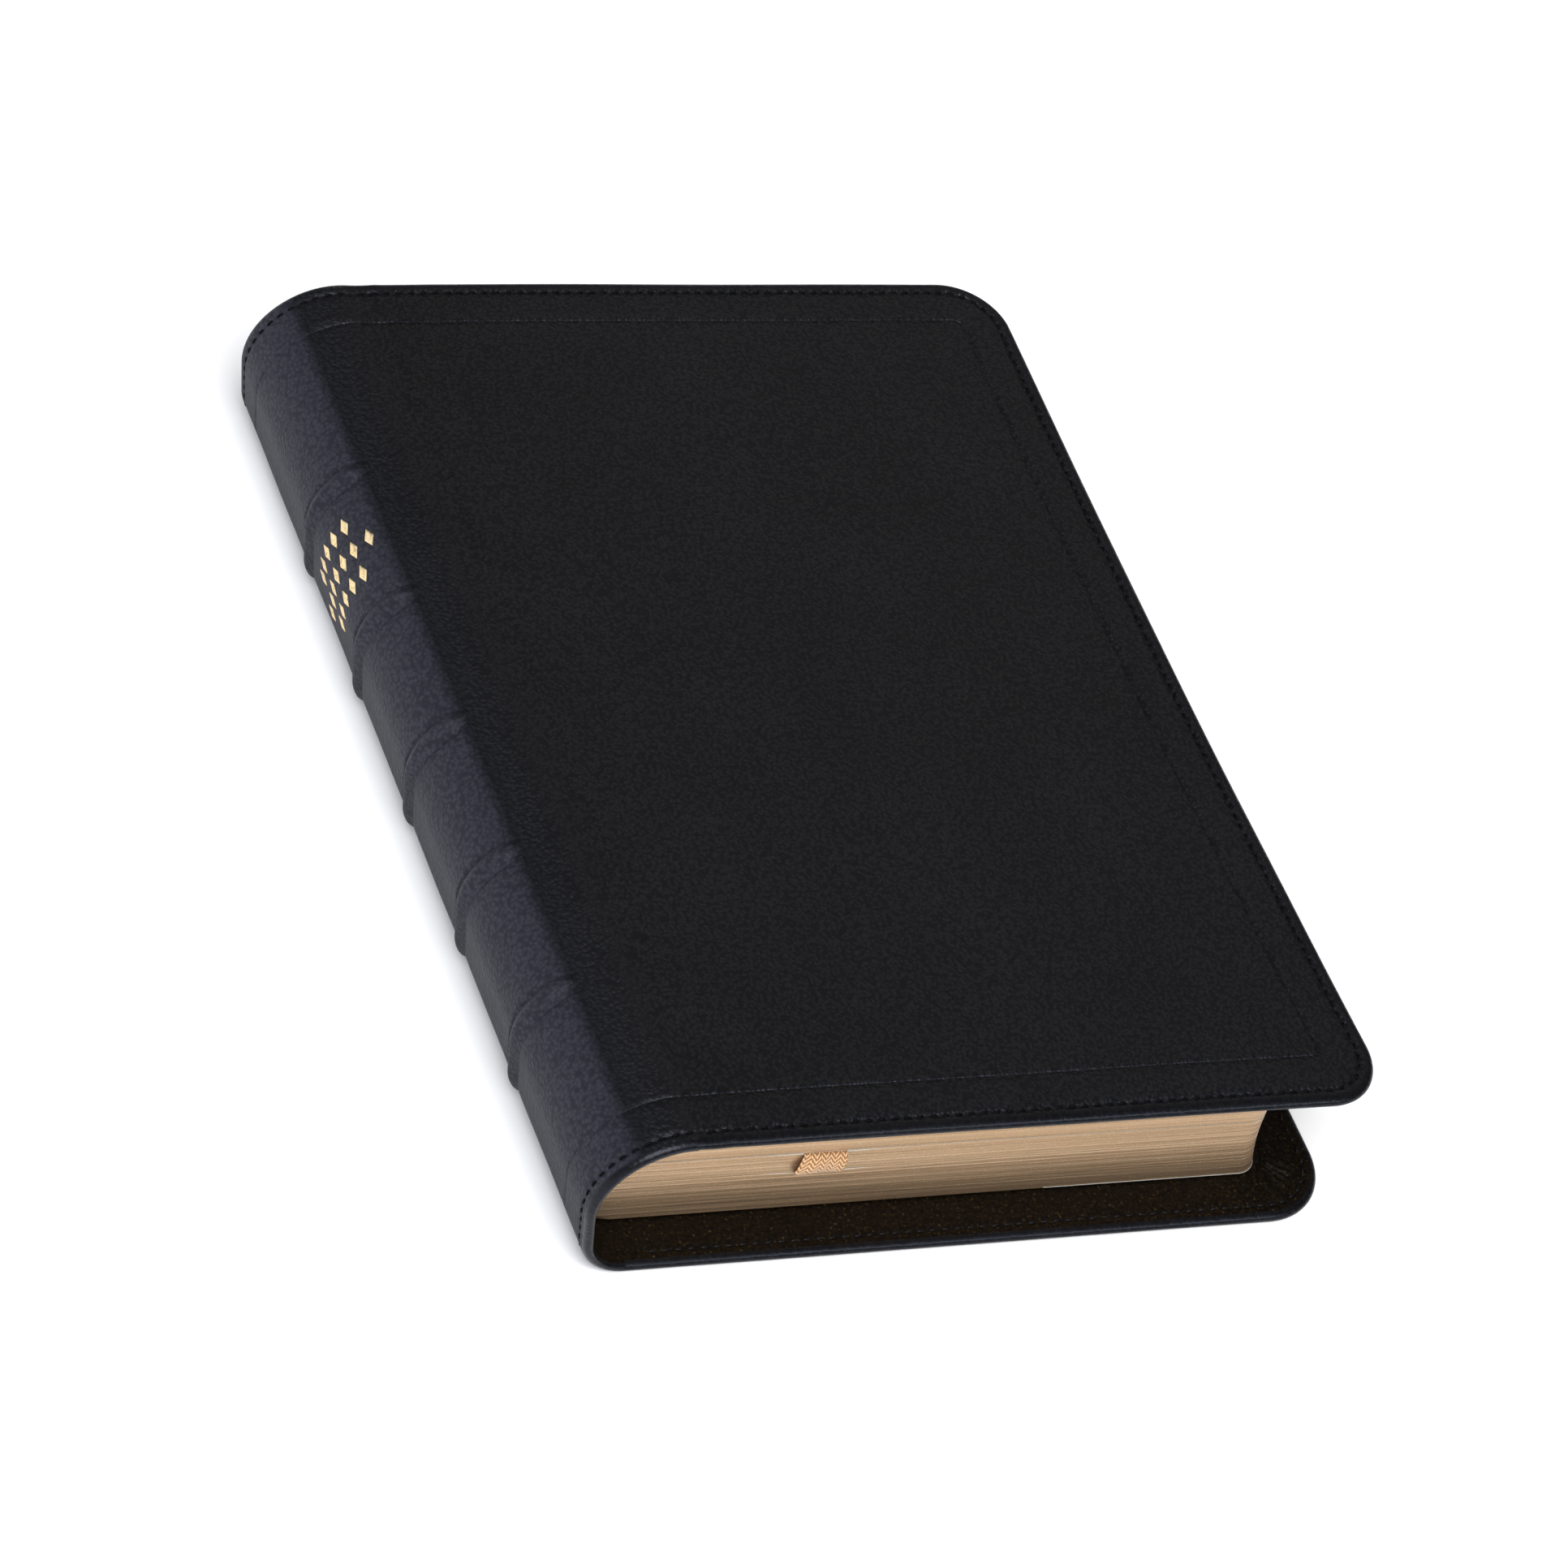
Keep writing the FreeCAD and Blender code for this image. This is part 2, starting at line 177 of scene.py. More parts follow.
# ---- ribbon ----
RIBBON_WIDTH = 8.0
RIBBON_X = -27.6  # its middle at the tail
RIBBON_REST = 0.13  # middle of the ribbon over the leaf it lies on
RIBBON_BULGE = 1.2  # of the loop outside the tail
RIBBON_TUCK = 36.0  # length tucked back between the pages
RIBBON_STEPS = 25  # across its width
RIBBON_HALF = 0.10  # half its thickness
SELVAGE_SWELL = 0.04  # extra half thickness at the woven edges of the loop
SELVAGE_START = 0.46  # share of the width
LOOSE_SIDE = (0.12, 0.5)  # shares of the width over which the near side is loose
LOOSE_SHIFT = 1.3  # its low part moves to the spine
LOOSE_IN = 0.5  # its top part moves in
LOOSE_OUT = 0.55  # its low part moves out
RIBBON_CURL = (0.12, 9)  # height and rate of the curl across the loop

# ---- gold ornament ----
LOZENGE_ROWS = (5, 7, 5)
LOZENGE_ROW_PITCH = 5.6
LOZENGE_PITCH = 3.2
LOZENGE_HALF_WIDTH = 1.05
LOZENGE_HALF_HEIGHT = 2.1
LOZENGE_SECTION = ((1.0, -0.03), (0.9, 0.05), (0.5, 0.07), (0.0, 0.07))  # scale, rise
LOZENGE_STEPS = 32
ORNAMENT_Z = SPLIT_Z + LOZENGE_PITCH / 2

# ---- leather looks ----
COVER_ROUGHNESS = 0.39
COVER_SPECULAR = 0.38
SHOULDER_SEAM = 0.43  # share of the turn where the painted slate light begins
# painted shade over the spine's shoulders: multipliers that darken the painted slate light to
# black near the hinges, darkest just before the seam
SHOULDER_PAINTED_SHADE = ((0.0, (0.22, 0.21, 0.165)), (0.30, (0.19, 0.185, 0.15)),
                 (SHOULDER_SEAM, (0.17, 0.165, 0.15)), (0.53, (0.66, 0.66, 0.66)),
                 (1.0, (1, 1, 1)))

# ---- camera ----
CAMERA_TURN = (-38.34, 42.19, -25.72)  # azimuth, elevation and roll in degrees
CAMERA_TARGET = (-5.2, -8.8, 16.75)
CAMERA_DISTANCE = 1.163  # in metres
CAMERA_LENS = 151.97
CAMERA_SENSOR = 36.0
CAMERA_REACH = 20.0  # in metres


# ---- mesh helpers ----
def build(name, verts, faces, materials, face_slots=None, weld=False):
    """Mesh object from points in millimetres."""
    mesh = bpy.data.meshes.new(name)
    mesh.from_pydata((np.asarray(verts) * MM).tolist(), [], faces)
    for material in materials:
        mesh.materials.append(material)
    if face_slots is not None:
        mesh.polygons.foreach_set("material_index", face_slots)
    mesh.polygons.foreach_set("use_smooth", [True] * len(mesh.polygons))
    obj = bpy.data.objects.new(name, mesh)
    bpy.context.collection.objects.link(obj)
    if weld:
        bm = bmesh.new()
        bm.from_mesh(mesh)
        bmesh.ops.remove_doubles(bm, verts=bm.verts, dist=1e-6)
        bmesh.ops.recalc_face_normals(bm, faces=bm.faces)
        bm.to_mesh(mesh)
        bm.free()
    mesh.validate()
    return obj


def grid_faces(rows, columns, start=0, wrap=False):
    """Quads of a rows x columns point grid; wrap joins the last column to the first."""
    faces = []
    last = columns if wrap else columns - 1
    for i in range(rows - 1):
        for j in range(last):
            k = (j + 1) % columns
            a, b = start + i * columns, start + (i + 1) * columns
            faces.append((a + j, a + k, b + k, b + j))
    return faces


def ripple(a, b, wavelength):
    """Smooth, repeatable unevenness between about -1 and 1."""
    k = 2 * math.pi / wavelength
    return (np.sin(k * (a + 0.37 * b) + 0.7) + np.sin(k * (0.71 * b - 0.53 * a) + 2.1)
            + np.sin(k * (0.31 * a + 1.29 * b) + 4.4)) / 3


def smooth_step(value, low, high):
    t = np.clip((np.asarray(value, float) - low) / (high - low), 0, 1)
    return t * t * (3 - 2 * t)


# ---- spine profile ----
def spine_profile():
    """Points and outward normals of the spine section, front flat to back flat."""
    between = FRONT_CENTRE - BACK_CENTRE
    turn = math.acos((BACK_SHOULDER - FRONT_SHOULDER) / np.hypot(*between))
    straight = math.atan2(between[1], between[0]) + turn
    points, normals = [], []

    def arc(centre, radius, start, end, count):
        for angle in np.linspace(start, end, count):
            normal = np.array([math.cos(angle), math.sin(angle)])
            points.append(centre + radius * normal)
            normals.append(normal)

    arc(FRONT_CENTRE, FRONT_SHOULDER, math.pi / 2, straight, 40)
    begin = points[-1]
    normal = normals[-1]
    finish = BACK_CENTRE + BACK_SHOULDER * normal
    for t in np.linspace(0, 1, 26)[1:-1]:
        points.append(begin + (finish - begin) * t)
        normals.append(normal)
    arc(BACK_CENTRE, BACK_SHOULDER, straight, 1.5 * math.pi, 30)
    return np.array(points), np.array(normals)


SPINE_POINTS, SPINE_NORMALS = spine_profile()
SPINE_LENGTHS = np.concatenate([[0], np.cumsum(np.hypot(*np.diff(SPINE_POINTS, axis=0).T))])


def on_spine(distance, y, out):
    """Point at a distance round the spine, at height y, standing off by out."""
    x, z = (np.interp(distance, SPINE_LENGTHS, column) for column in SPINE_POINTS.T)
    nx, nz = (np.interp(distance, SPINE_LENGTHS, column) for column in SPINE_NORMALS.T)
    return np.array([x + nx * out, y, z + nz * out])


def spine_x_at(z, offset):
    """X of the spine profile, offset inwards, at height z."""
    inner = SPINE_POINTS - SPINE_NORMALS * offset
    order = np.argsort(inner[:, 1])
    return float(np.interp(z, inner[order, 1], inner[order, 0]))


# ---- leather ----
# Inset from the edge and depth below the outside, from the middle of the
# outside, over the turned edge, to the middle of the inside.
EDGE_DEPTH = 1.0
SECTION_REACH = 12.0  # the plain middle of the spine starts this far in
OUTSIDE_SECTION = [(11.4, 0.0), (10.62, -0.02), (10.45, 0.07), (10.3, 0.18), (10.15, 0.07),
                   (9.98, -0.02), (8.4, 0.0), (6.2, 0.0), (4.2, 0.0), (3.3, 0.02),
                   (3.05, 0.16), (2.8, 0.26), (2.55, 0.16), (2.3, 0.0), (1.8, -0.03),
                   (1.3, 0.0), (0.85, 0.1), (0.5, 0.26), (0.22, 0.5), (0.06, 0.78)]
EDGE_SECTION = [(0.0, EDGE_DEPTH)]
INSIDE_SECTION = [(0.06, 1.24), (0.22, 1.52), (0.5, 1.76), (0.85, 1.92), (1.3, 2.0),
                  (1.8, 2.02), (2.3, 2.0), (2.55, 1.86), (2.8, 1.78), (3.05, 1.86),
                  (3.3, 1.98), (4.0, 2.0), (4.7, 2.0), (5.4, 2.0), (6.2, 2.0),
                  (7.0, 2.0), (7.8, 2.0), (8.6, 2.0), (9.3, 2.0), (9.8, 2.0),
                  (10.2, 1.8), (11.4, 1.8)]
SECTION = OUTSIDE_SECTION + EDGE_SECTION + INSIDE_SECTION
RIM_WIDTH = 1.3  # burnished at the head and tail of the spine
RIM_ROWS = 5  # burnished rows each side of a cover's edge
OUTSIDE_SLOT, INSIDE_SLOT, RIM_SLOT = range(3)


def cover_side(front):
    """Fore-edge, corner radius, outside height and inward direction of a cover."""
    if front:
        return FRONT_FORE, FRONT_CORNER, THICKNESS, -1
    return BACK_FORE, BACK_CORNER, 0.0, 1


def bell(away, shape):
    """Rounded groove or ridge at a distance, with a width and a height."""
    distance, width, height = shape
    return height * np.exp(-((away - distance) / width) ** 2)


def band_relief(y, fade):
    """Raised bands that narrow and sink towards both shoulders, each between creases.

    The crease on the head side is the sharper one.
    """
    rise = np.zeros_like(y)
    half = BAND_HALF_WIDTH * (BAND_NARROWEST + (1 - BAND_NARROWEST) * fade)
    for centre in BANDS:
        away = np.abs(y - centre)
        ridge = np.where(away < half, np.cos(math.pi * away / (2 * half)) ** 2, 0)
        creases = bell(y - centre - half, HEAD_CREASE) + bell(centre - y - half, TAIL_CREASE)
        rise += fade * BAND_SWELL * ridge - fade ** 0.5 * creases
    return rise


def interior_y(limit):
    """Y stations between -limit and limit, finer at the raised bands."""
    stations = set(np.round(np.linspace(-limit, limit, SPINE_STATIONS), 3))
    for centre in BANDS:
        near = centre + np.linspace(-BAND_REACH, BAND_REACH, BAND_STATIONS)
        stations |= set(np.round(near, 3))
    return np.array(sorted(stations))


def spine_skin(outer, inner, rim):
    """Leather round the spine: ridged outside, rolled at head and tail.

    Its "shoulder" attribute runs from 0 at both hinges to 1 where the painted slate light is
    full, and steers the painted shade of the shoulders.
    """
    middle = interior_y(HALF_HEIGHT - SECTION_REACH)
    tail = [(d - HALF_HEIGHT, depth) for d, depth in reversed(OUTSIDE_SECTION)]
    head = [(HALF_HEIGHT - d, depth) for d, depth in OUTSIDE_SECTION]
    inside = [(d, max(depth, ROLL_DEPTH + d / 2) if d < 1 else LEATHER)
              for d, depth in INSIDE_SECTION]
    inner_head = [(HALF_HEIGHT - d, depth) for d, depth in inside]
    inner_tail = [(d - HALF_HEIGHT, depth) for d, depth in reversed(inside)]
    inner_middle = [(y, INNER_DEPTH) for y in middle[::-INNER_STEP]]
    loop = [(-HALF_HEIGHT, EDGE_DEPTH)] + tail + [(y, 0.0) for y in middle] + head
    loop += [(HALF_HEIGHT, EDGE_DEPTH)] + inner_head + inner_middle + inner_tail
    ys = np.array([y for y, _ in loop])
    depths = np.array([depth for _, depth in loop])
    outside = depths < EDGE_DEPTH
    total = SPINE_LENGTHS[-1]
    height, wavelength = SPINE_WAVE
    verts = []
    for i, (point, normal) in enumerate(zip(SPINE_POINTS, SPINE_NORMALS)):
        s = SPINE_LENGTHS[i]
        fade = float(smooth_step(s, *FRONT_BAND_FADE) * smooth_step(total - s, *BACK_BAND_FADE))
        relief = np.where(outside, band_relief(ys, fade), 0)
        wave = height * ripple(np.full_like(ys, s), ys, wavelength) * fade
        out = relief + np.where(outside, wave, 0) - depths
        verts.append(np.stack([point[0] + normal[0] * out, ys,
                               point[1] + normal[1] * out], axis=1))
    verts = np.concatenate(verts)
    faces = grid_faces(len(SPINE_POINTS), len(ys), wrap=True)
    kinds = np.where(np.abs(ys) > HALF_HEIGHT - RIM_WIDTH, RIM_SLOT,
                     np.where(outside, OUTSIDE_SLOT, INSIDE_SLOT))
    slots = [int(kinds[i % len(ys)]) for i in range(len(faces))]
    obj = build("spine_leather", verts, faces, [outer, inner, rim], slots)
    turn = np.minimum(SPINE_LENGTHS / FRONT_TURN, (total - SPINE_LENGTHS) / BACK_TURN)
    shade = obj.data.attributes.new("shoulder", "FLOAT", "POINT")
    shade.data.foreach_set("value", np.repeat(np.clip(turn, 0, 1), len(ys)))
    return obj


def limp(points, front):
    """Soft unevenness of the front cover, bent in at its fore-edge. The back one is flat."""
    if not front:
        return points
    x, y, z = points[:, 0].copy(), points[:, 1].copy(), points[:, 2].copy()
    x -= FRONT_BOW * (1 - (y / HALF_HEIGHT) ** 2) * smooth_step(x, HINGE_X, FRONT_FORE)
    height, wavelength = COVER_WAVE
    reach = smooth_step(x, HINGE_X, HINGE_X + COVER_WAVE_START)
    z += height * (1 + ripple(x, y, wavelength)) * reach
    z -= bell(x - HINGE_X, HINGE_GROOVE)
    z += bell(x - HINGE_X, HINGE_RIDGE)
    return np.stack([x, y, z], axis=1)


def x_stations(fore, corner):
    """X stations of a cover from the spine, closest together at the hinge."""
    start = FRONT_CENTRE[0] if fore == FRONT_FORE else BACK_CENTRE[0]
    zone = HINGE_X + HINGE_ZONE
    fine = np.linspace(start, zone, HINGE_STATIONS)
    return np.concatenate([fine, np.linspace(zone, fore - corner, COVER_STATIONS)[1:]])


def ring(xs, ys, fore, corner, inset, corner_steps):
    """Points along the three free sides of a cover at one inset, tail to head."""
    radius = corner - inset
    edge = HALF_HEIGHT - inset
    points = [(x, -edge) for x in xs]
    for sign, start in ((-1, -math.pi / 2), (1, 0)):
        points += [(fore - corner + radius * math.cos(a),
                    sign * (HALF_HEIGHT - corner) + radius * math.sin(a))
                   for a in np.linspace(start, start + math.pi / 2, corner_steps)]
        if sign < 0:
            points += [(fore - inset, y) for y in ys[1:-1]]
    points += [(x, edge) for x in xs[::-1]]
    return np.array(points)


def pleat_rise(points, fore, corner, inset):
    """Gathers of the turned-in leather where it goes round a corner, unevenly spaced."""
    x = points[:, 0] - (fore - corner)
    y = np.abs(points[:, 1]) - (HALF_HEIGHT - corner)
    angle = np.arctan2(y, x)
    inside = np.where((x > 0) & (y > 0), np.sqrt(np.abs(np.sin(2 * angle))), 0)
    curl = angle + 0.08 * np.sin(inset * 0.7) + 0.06 * np.sin(7 * angle + 1.3)
    folds = 1 - np.abs(np.sin(curl * PLEATS)) ** 0.8
    reach = float(smooth_step(inset, *PLEAT_START)
                  * (1 - PLEAT_SINK * smooth_step(inset, *PLEAT_END)))
    return PLEAT_RISE * folds * inside * reach


def cover_skin(name, outer, inner, rim, front):
    """One cover's leather, from the spine round its turned edge to the lining."""
    fore, corner, outside, inward = cover_side(front)
    height, wavelength = EDGE_WAVE
    xs = x_stations(fore, corner)
    ys = interior_y(HALF_HEIGHT - corner)[::2]
    ys[0], ys[-1] = corner - HALF_HEIGHT, HALF_HEIGHT - corner
    section = [(corner, 0.0)] + SECTION + [(corner, LINED_DEPTH)]
    verts = []
    for inset, depth in section:
        points = ring(xs, ys, fore, corner, inset, CORNER_STEPS)
        steps = np.hypot(*np.diff(points, axis=0, prepend=points[:1]).T)
        length = np.cumsum(steps)
        wave = height * ripple(length, np.zeros_like(length), wavelength)
        swell = wave if inset < EDGE_WAVE_REACH else 0
        rise = pleat_rise(points, fore, corner, inset) if depth > PLEATED_DEPTH else 0
        z = outside + inward * (depth + rise + swell * (1 if depth < EDGE_DEPTH else -1))
        verts.append(np.column_stack([points, np.full(len(points), z)]))
    count = len(verts[0])
    faces = grid_faces(len(section), count)
    slots = [section_slot(i // (count - 1)) for i in range(len(faces))]
    start = len(section) * count
    for depth, slot in ((0.0, OUTSIDE_SLOT), (LINED_DEPTH, INSIDE_SLOT)):
        verts.append(flat_grid(xs, ys, outside + inward * depth))
        faces += grid_faces(len(xs), len(ys), start)
        slots += [slot] * (len(faces) - len(slots))
        start += len(xs) * len(ys)
    verts = limp(np.concatenate(verts), front)
    return build(name, verts, faces, [outer, inner, rim], slots, weld=True)


def section_slot(row):
    """Outside, turned-in or burnished leather for one row of a cover's section."""
    rim_start = len(OUTSIDE_SECTION) - RIM_ROWS
    rim_end = len(OUTSIDE_SECTION) + RIM_ROWS + 1
    if rim_start <= row < rim_end:
        return RIM_SLOT
    return OUTSIDE_SLOT if row < rim_start else INSIDE_SLOT


def flat_grid(xs, ys, z):
    """Points of a flat rectangular grid at one height."""
    gx, gy = np.meshgrid(xs, ys, indexing="ij")
    return np.column_stack([gx.ravel(), gy.ravel(), np.full(gx.size, z)])


def lining_sheet(name, material, front):
    """Smooth leather glued inside a cover, with a softly rounded border."""
    fore, corner, outside, inward = cover_side(front)
    round_corner = corner + LINING_CORNER
    xs = np.linspace(HINGE_X + LINING_START, fore - round_corner, 60)
    ys = np.linspace(round_corner - HALF_HEIGHT, HALF_HEIGHT - round_corner, 90)
    border = [(TURN_IN + 0.05, 0.0), (TURN_IN + 0.1, 0.16),
              (TURN_IN + 0.4, 0.24), (TURN_IN + 1.0, LINING_RISE)]
    verts = []
    for inset, rise in border:
        points = ring(xs, ys, fore, round_corner, inset, 10)
        z = outside + inward * (LINING_DEPTH + rise)
        verts.append(np.column_stack([points, np.full(len(points), z)]))
    count = len(verts[0])
    face = outside + inward * (LINING_DEPTH + LINING_RISE)
    verts.append(ring_to(verts[-1], xs, ys, face))
    rows = len(verts)
    verts.append(flat_grid(xs, ys, face))
    faces = grid_faces(rows, count)
    faces += grid_faces(len(xs), len(ys), rows * count)
    return build(name, limp(np.concatenate(verts), front), faces, [material], weld=True)


def ring_to(points, xs, ys, z):
    """The border's points pulled onto the edge of the inner grid."""
    x = np.clip(points[:, 0], xs[0], xs[-1])
    y = np.clip(points[:, 1], ys[0], ys[-1])
    return np.column_stack([x, y, np.full(len(points), z)])


# ---- stitching ----
def stitch_line(centres, tangents, normals):
    """Short rounded stitches, each slightly slanted, as one mesh."""
    rings, sides = 6, 8
    verts, faces = [], []
    for number, (centre, tangent, normal) in enumerate(zip(centres, tangents, normals)):
        across = np.cross(normal, tangent)
        slant = STITCH_SLANT * math.sin(number * 2.4)
        tangent = tangent * math.cos(slant) + across * math.sin(slant)
        across = np.cross(normal, tangent)
        start = len(verts)
        for i in range(rings):
            t = -1 + 2 * i / (rings - 1)
            width = STITCH_RADIUS * math.sqrt(max(1 - t ** 4, 0.02))
            sink = STITCH_SINK * t ** 4
            for j in range(sides):
                a = 2 * math.pi * j / sides
                verts.append(centre + tangent * t * STITCH_LENGTH / 2
                             + across * width * math.cos(a)
                             + normal * (width * math.sin(a) - sink))
        faces += grid_faces(rings, sides, start, wrap=True)
        faces.append(tuple(start + j for j in range(sides))[::-1])
        faces.append(tuple(start + (rings - 1) * sides + j for j in range(sides)))
    return np.array(verts), faces


def along(points, pitch):
    """Evenly spaced centres and unit tangents on a polyline."""
    points = np.asarray(points, float)
    steps = np.linalg.norm(np.diff(points, axis=0), axis=1)
    lengths = np.concatenate([[0], np.cumsum(steps)])
    count = int(lengths[-1] / pitch)
    where = (np.arange(count) + 0.5) * lengths[-1] / count

    def at(distances):
        return np.stack([np.interp(distances, lengths, points[:, k]) for k in range(3)], axis=1)

    reach = 0.2
    tangents = at(where + reach) - at(where - reach)
    return at(where), tangents / np.linalg.norm(tangents, axis=1)[:, None]


def cover_stitches(name, material, front, outer):
    """Row of stitches round the three free sides of a cover, outside or inside."""
    fore, corner, outside, inward = cover_side(front)
    depth = STITCH_DEPTH if outer else LEATHER - STITCH_DEPTH
    xs = np.linspace(HINGE_X + STITCH_START, fore - corner, 60)
    ys = np.linspace(corner - HALF_HEIGHT, HALF_HEIGHT - corner, 90)
    path = ring(xs, ys, fore, corner, STITCH_INSET, 30)
    path = np.column_stack([path, np.full(len(path), outside + inward * depth)])
    centres, tangents = along(limp(path, front), STITCH_PITCH)
    up = -inward if outer else inward
    normals = np.tile([0.0, 0.0, float(up)], (len(centres), 1))
    return build(name, *stitch_line(centres, tangents, normals), [material])


def spine_stitches(name, material):
    """Rows of stitches round the head and tail of the spine."""
    all_verts, all_faces = [], []
    for y in (STITCH_INSET - HALF_HEIGHT, HALF_HEIGHT - STITCH_INSET):
        path = np.column_stack([SPINE_POINTS[:, 0], np.full(len(SPINE_POINTS), y),
                                SPINE_POINTS[:, 1]])
        centres, tangents = along(path, STITCH_PITCH)
        where = (np.arange(len(centres)) + 0.5) * SPINE_LENGTHS[-1] / len(centres)
        nx, nz = (np.interp(where, SPINE_LENGTHS, column) for column in SPINE_NORMALS.T)
        normals = np.column_stack([nx, np.zeros(len(nx)), nz])
        verts, faces = stitch_line(centres - STITCH_DEPTH * normals, tangents, normals)
        shift = sum(len(v) for v in all_verts)
        all_verts.append(verts)
        all_faces += [tuple(i + shift for i in face) for face in faces]
    return build(name, np.concatenate(all_verts), all_faces, [material])


# ---- pages ----
def fore_x_at(z):
    """Fore-edge of the block: leaning, and hollow in the middle."""
    t = (z - BLOCK_BOTTOM) / (BLOCK_TOP - BLOCK_BOTTOM)
    lean = BACK_BLOCK_FORE + (FRONT_BLOCK_FORE - BACK_BLOCK_FORE) * t
    return lean - FORE_HOLLOW * (1 - (2 * t - 1) ** 2)


def page_outline(z):
    """Outline of one layer of the block in plan, with its outward normals."""
    x0, x1 = spine_x_at(z, BLOCK_CLEARANCE), fore_x_at(z)
    r, h = BLOCK_CORNER, BLOCK_HALF
    points = [(x, -h, 0, -1) for x in np.linspace(x0, x1 - r, PAGE_SIDE_STEPS)]
    for sign, a0 in ((-1, -math.pi / 2), (1, 0)):
        angles = np.linspace(a0, a0 + math.pi / 2, PAGE_CORNER_STEPS)
        for a in angles[1:] if sign < 0 else angles:
            points.append((x1 - r + r * math.cos(a), sign * (h - r) + r * math.sin(a),
                           math.cos(a), math.sin(a)))
        if sign < 0:
            points += [(x1, y, 1, 0) for y in np.linspace(r - h, h - r, PAGE_FORE_STEPS)[1:-1]]
    points += [(x, h, 0, 1) for x in np.linspace(x1 - r, x0, PAGE_SIDE_STEPS)[1:]]
    points += [(x0, y, -1, 0) for y in np.linspace(h, -h, PAGE_SPINE_STEPS)[1:-1]]
    return np.array(points)


def lip(outline, gap):
    """How far the top leaves swell to close the gap left for the ribbon."""
    at_tail = outline[:, 1] < 1 - BLOCK_HALF
    away = np.abs(outline[:, 0] - RIBBON_X) - RIBBON_WIDTH / 2
    return gap * np.where(at_tail, smooth_step(away, *LIP_FADE), 1.0)


def page_block(name, low, high, gap, gilt, paper, generator):
    """Part of the block, with every few leaves standing slightly proud."""
    count = int((high - low) / LAYER)
    bare = ENDPAPER_ROWS if low == BLOCK_BOTTOM else 0
    height, wavelength = LAYER_WAVE
    verts = []
    for number, z in enumerate(np.linspace(low, high, count)):
        outline = page_outline(z)
        n = np.arange(len(outline))
        proud = generator.normal(0, PROUD)
        proud += height * ripple(n * 1.0, np.full(len(n), z * LAYER_TWIST), wavelength)
        offset = ENDPAPER_PROUD if number < bare else proud
        verts.append(np.column_stack([outline[:, 0] + outline[:, 2] * offset,
                                      outline[:, 1] + outline[:, 3] * offset,
                                      np.full(len(outline), z)]))
    if gap:
        outline = page_outline(high)
        rise = lip(outline, gap)
        for inset, share in LIP_SECTION:
            verts.append(np.column_stack([outline[:, 0] - outline[:, 2] * inset,
                                          outline[:, 1] - outline[:, 3] * inset,
                                          high + rise * share]))
    rings = len(verts)
    width = len(verts[0])
    faces = grid_faces(rings, width, wrap=True)
    slots = []
    for row in range(rings - 1):
        for point in outline:
            endpaper = row < bare and point[0] > BARE_PAPER_X
            slots.append(int(row >= count or endpaper))
    faces.append(tuple(range(width))[::-1])
    faces.append(tuple(range((rings - 1) * width, rings * width)))
    obj = build(name, np.concatenate(verts), faces, [gilt, paper], slots + [1, 1])
    for polygon in obj.data.polygons[-2:]:
        polygon.use_smooth = False
    return obj


def gutter_fold(material):
    """Folded paper that closes the gutter when the book opens at the ribbon."""
    x = spine_x_at(SPLIT_Z, BLOCK_CLEARANCE) - FOLD_CLEARANCE
    zs = np.linspace(REAR_TOP, FRONT_BOTTOM, 25)
    ys = np.linspace(-BLOCK_HALF, BLOCK_HALF, 60)
    verts = [(x + side, y, z) for side in (0.0, -FOLD_THICKNESS) for z in zs for y in ys]
    size = len(zs) * len(ys)
    faces = grid_faces(len(zs), len(ys)) + grid_faces(len(zs), len(ys), size)
    return build("gutter_fold", verts, faces, [material])


def leaf(paper, gilt):
    """The single leaf that lies on the ribbon."""
    x0 = spine_x_at(SPLIT_Z, BLOCK_CLEARANCE) + LEAF_CLEARANCE
    xs = np.linspace(x0, LEAF_HI.x, 60)
    ys = np.linspace(-BLOCK_HALF, BLOCK_HALF, 80)
    verts, r = [], BLOCK_CORNER
    for z in (LEAF_LO.z, LEAF_HI.z):
        for x in xs:
            over = max(0.0, x - (LEAF_HI.x - r))
            limit = BLOCK_HALF - r + math.sqrt(max(r * r - over * over, 0))
            verts += [(x, y * limit / BLOCK_HALF, z) for y in ys]
    size = len(xs) * len(ys)
    faces = grid_faces(len(xs), len(ys)) + grid_faces(len(xs), len(ys), size)
    rim = [i * len(ys) for i in range(len(xs))]
    rim += [(len(xs) - 1) * len(ys) + j for j in range(1, len(ys))]
    rim += [i * len(ys) + len(ys) - 1 for i in range(len(xs) - 2, -1, -1)]
    rim += [j for j in range(len(ys) - 2, 0, -1)]
    slots = [0] * len(faces)
    for a, b in zip(rim, rim[1:] + rim[:1]):
        faces.append((a, b, b + size, a + size))
        slots.append(1)
    return build("marked_leaf_paper", verts, faces, [paper, gilt], slots, weld=True)


# ---- ribbon ----
def ribbon_path():
    """Centre line in Y and Z, with the share of the sideways drift to the spine."""
    top = REAR_TOP + RIBBON_REST
    tuck = TUCK_BOTTOM + RIBBON_REST
    middle, radius = (top + tuck) / 2, (top - tuck) / 2
    points = []
    for t in np.linspace(0, 1, 60):
        points.append((BLOCK_HALF - 1 - t * (2 * BLOCK_HALF - 1), top, 1 - t))
    for a in np.linspace(90, 270, 33)[1:-1]:
        y = -BLOCK_HALF + RIBBON_BULGE * math.cos(math.radians(a))
        points.append((y, middle + radius * math.sin(math.radians(a)), 0.0))
    for t in np.linspace(0, 1, 20):
        points.append((-BLOCK_HALF + RIBBON_TUCK * t, tuck, 0.0))
    return points


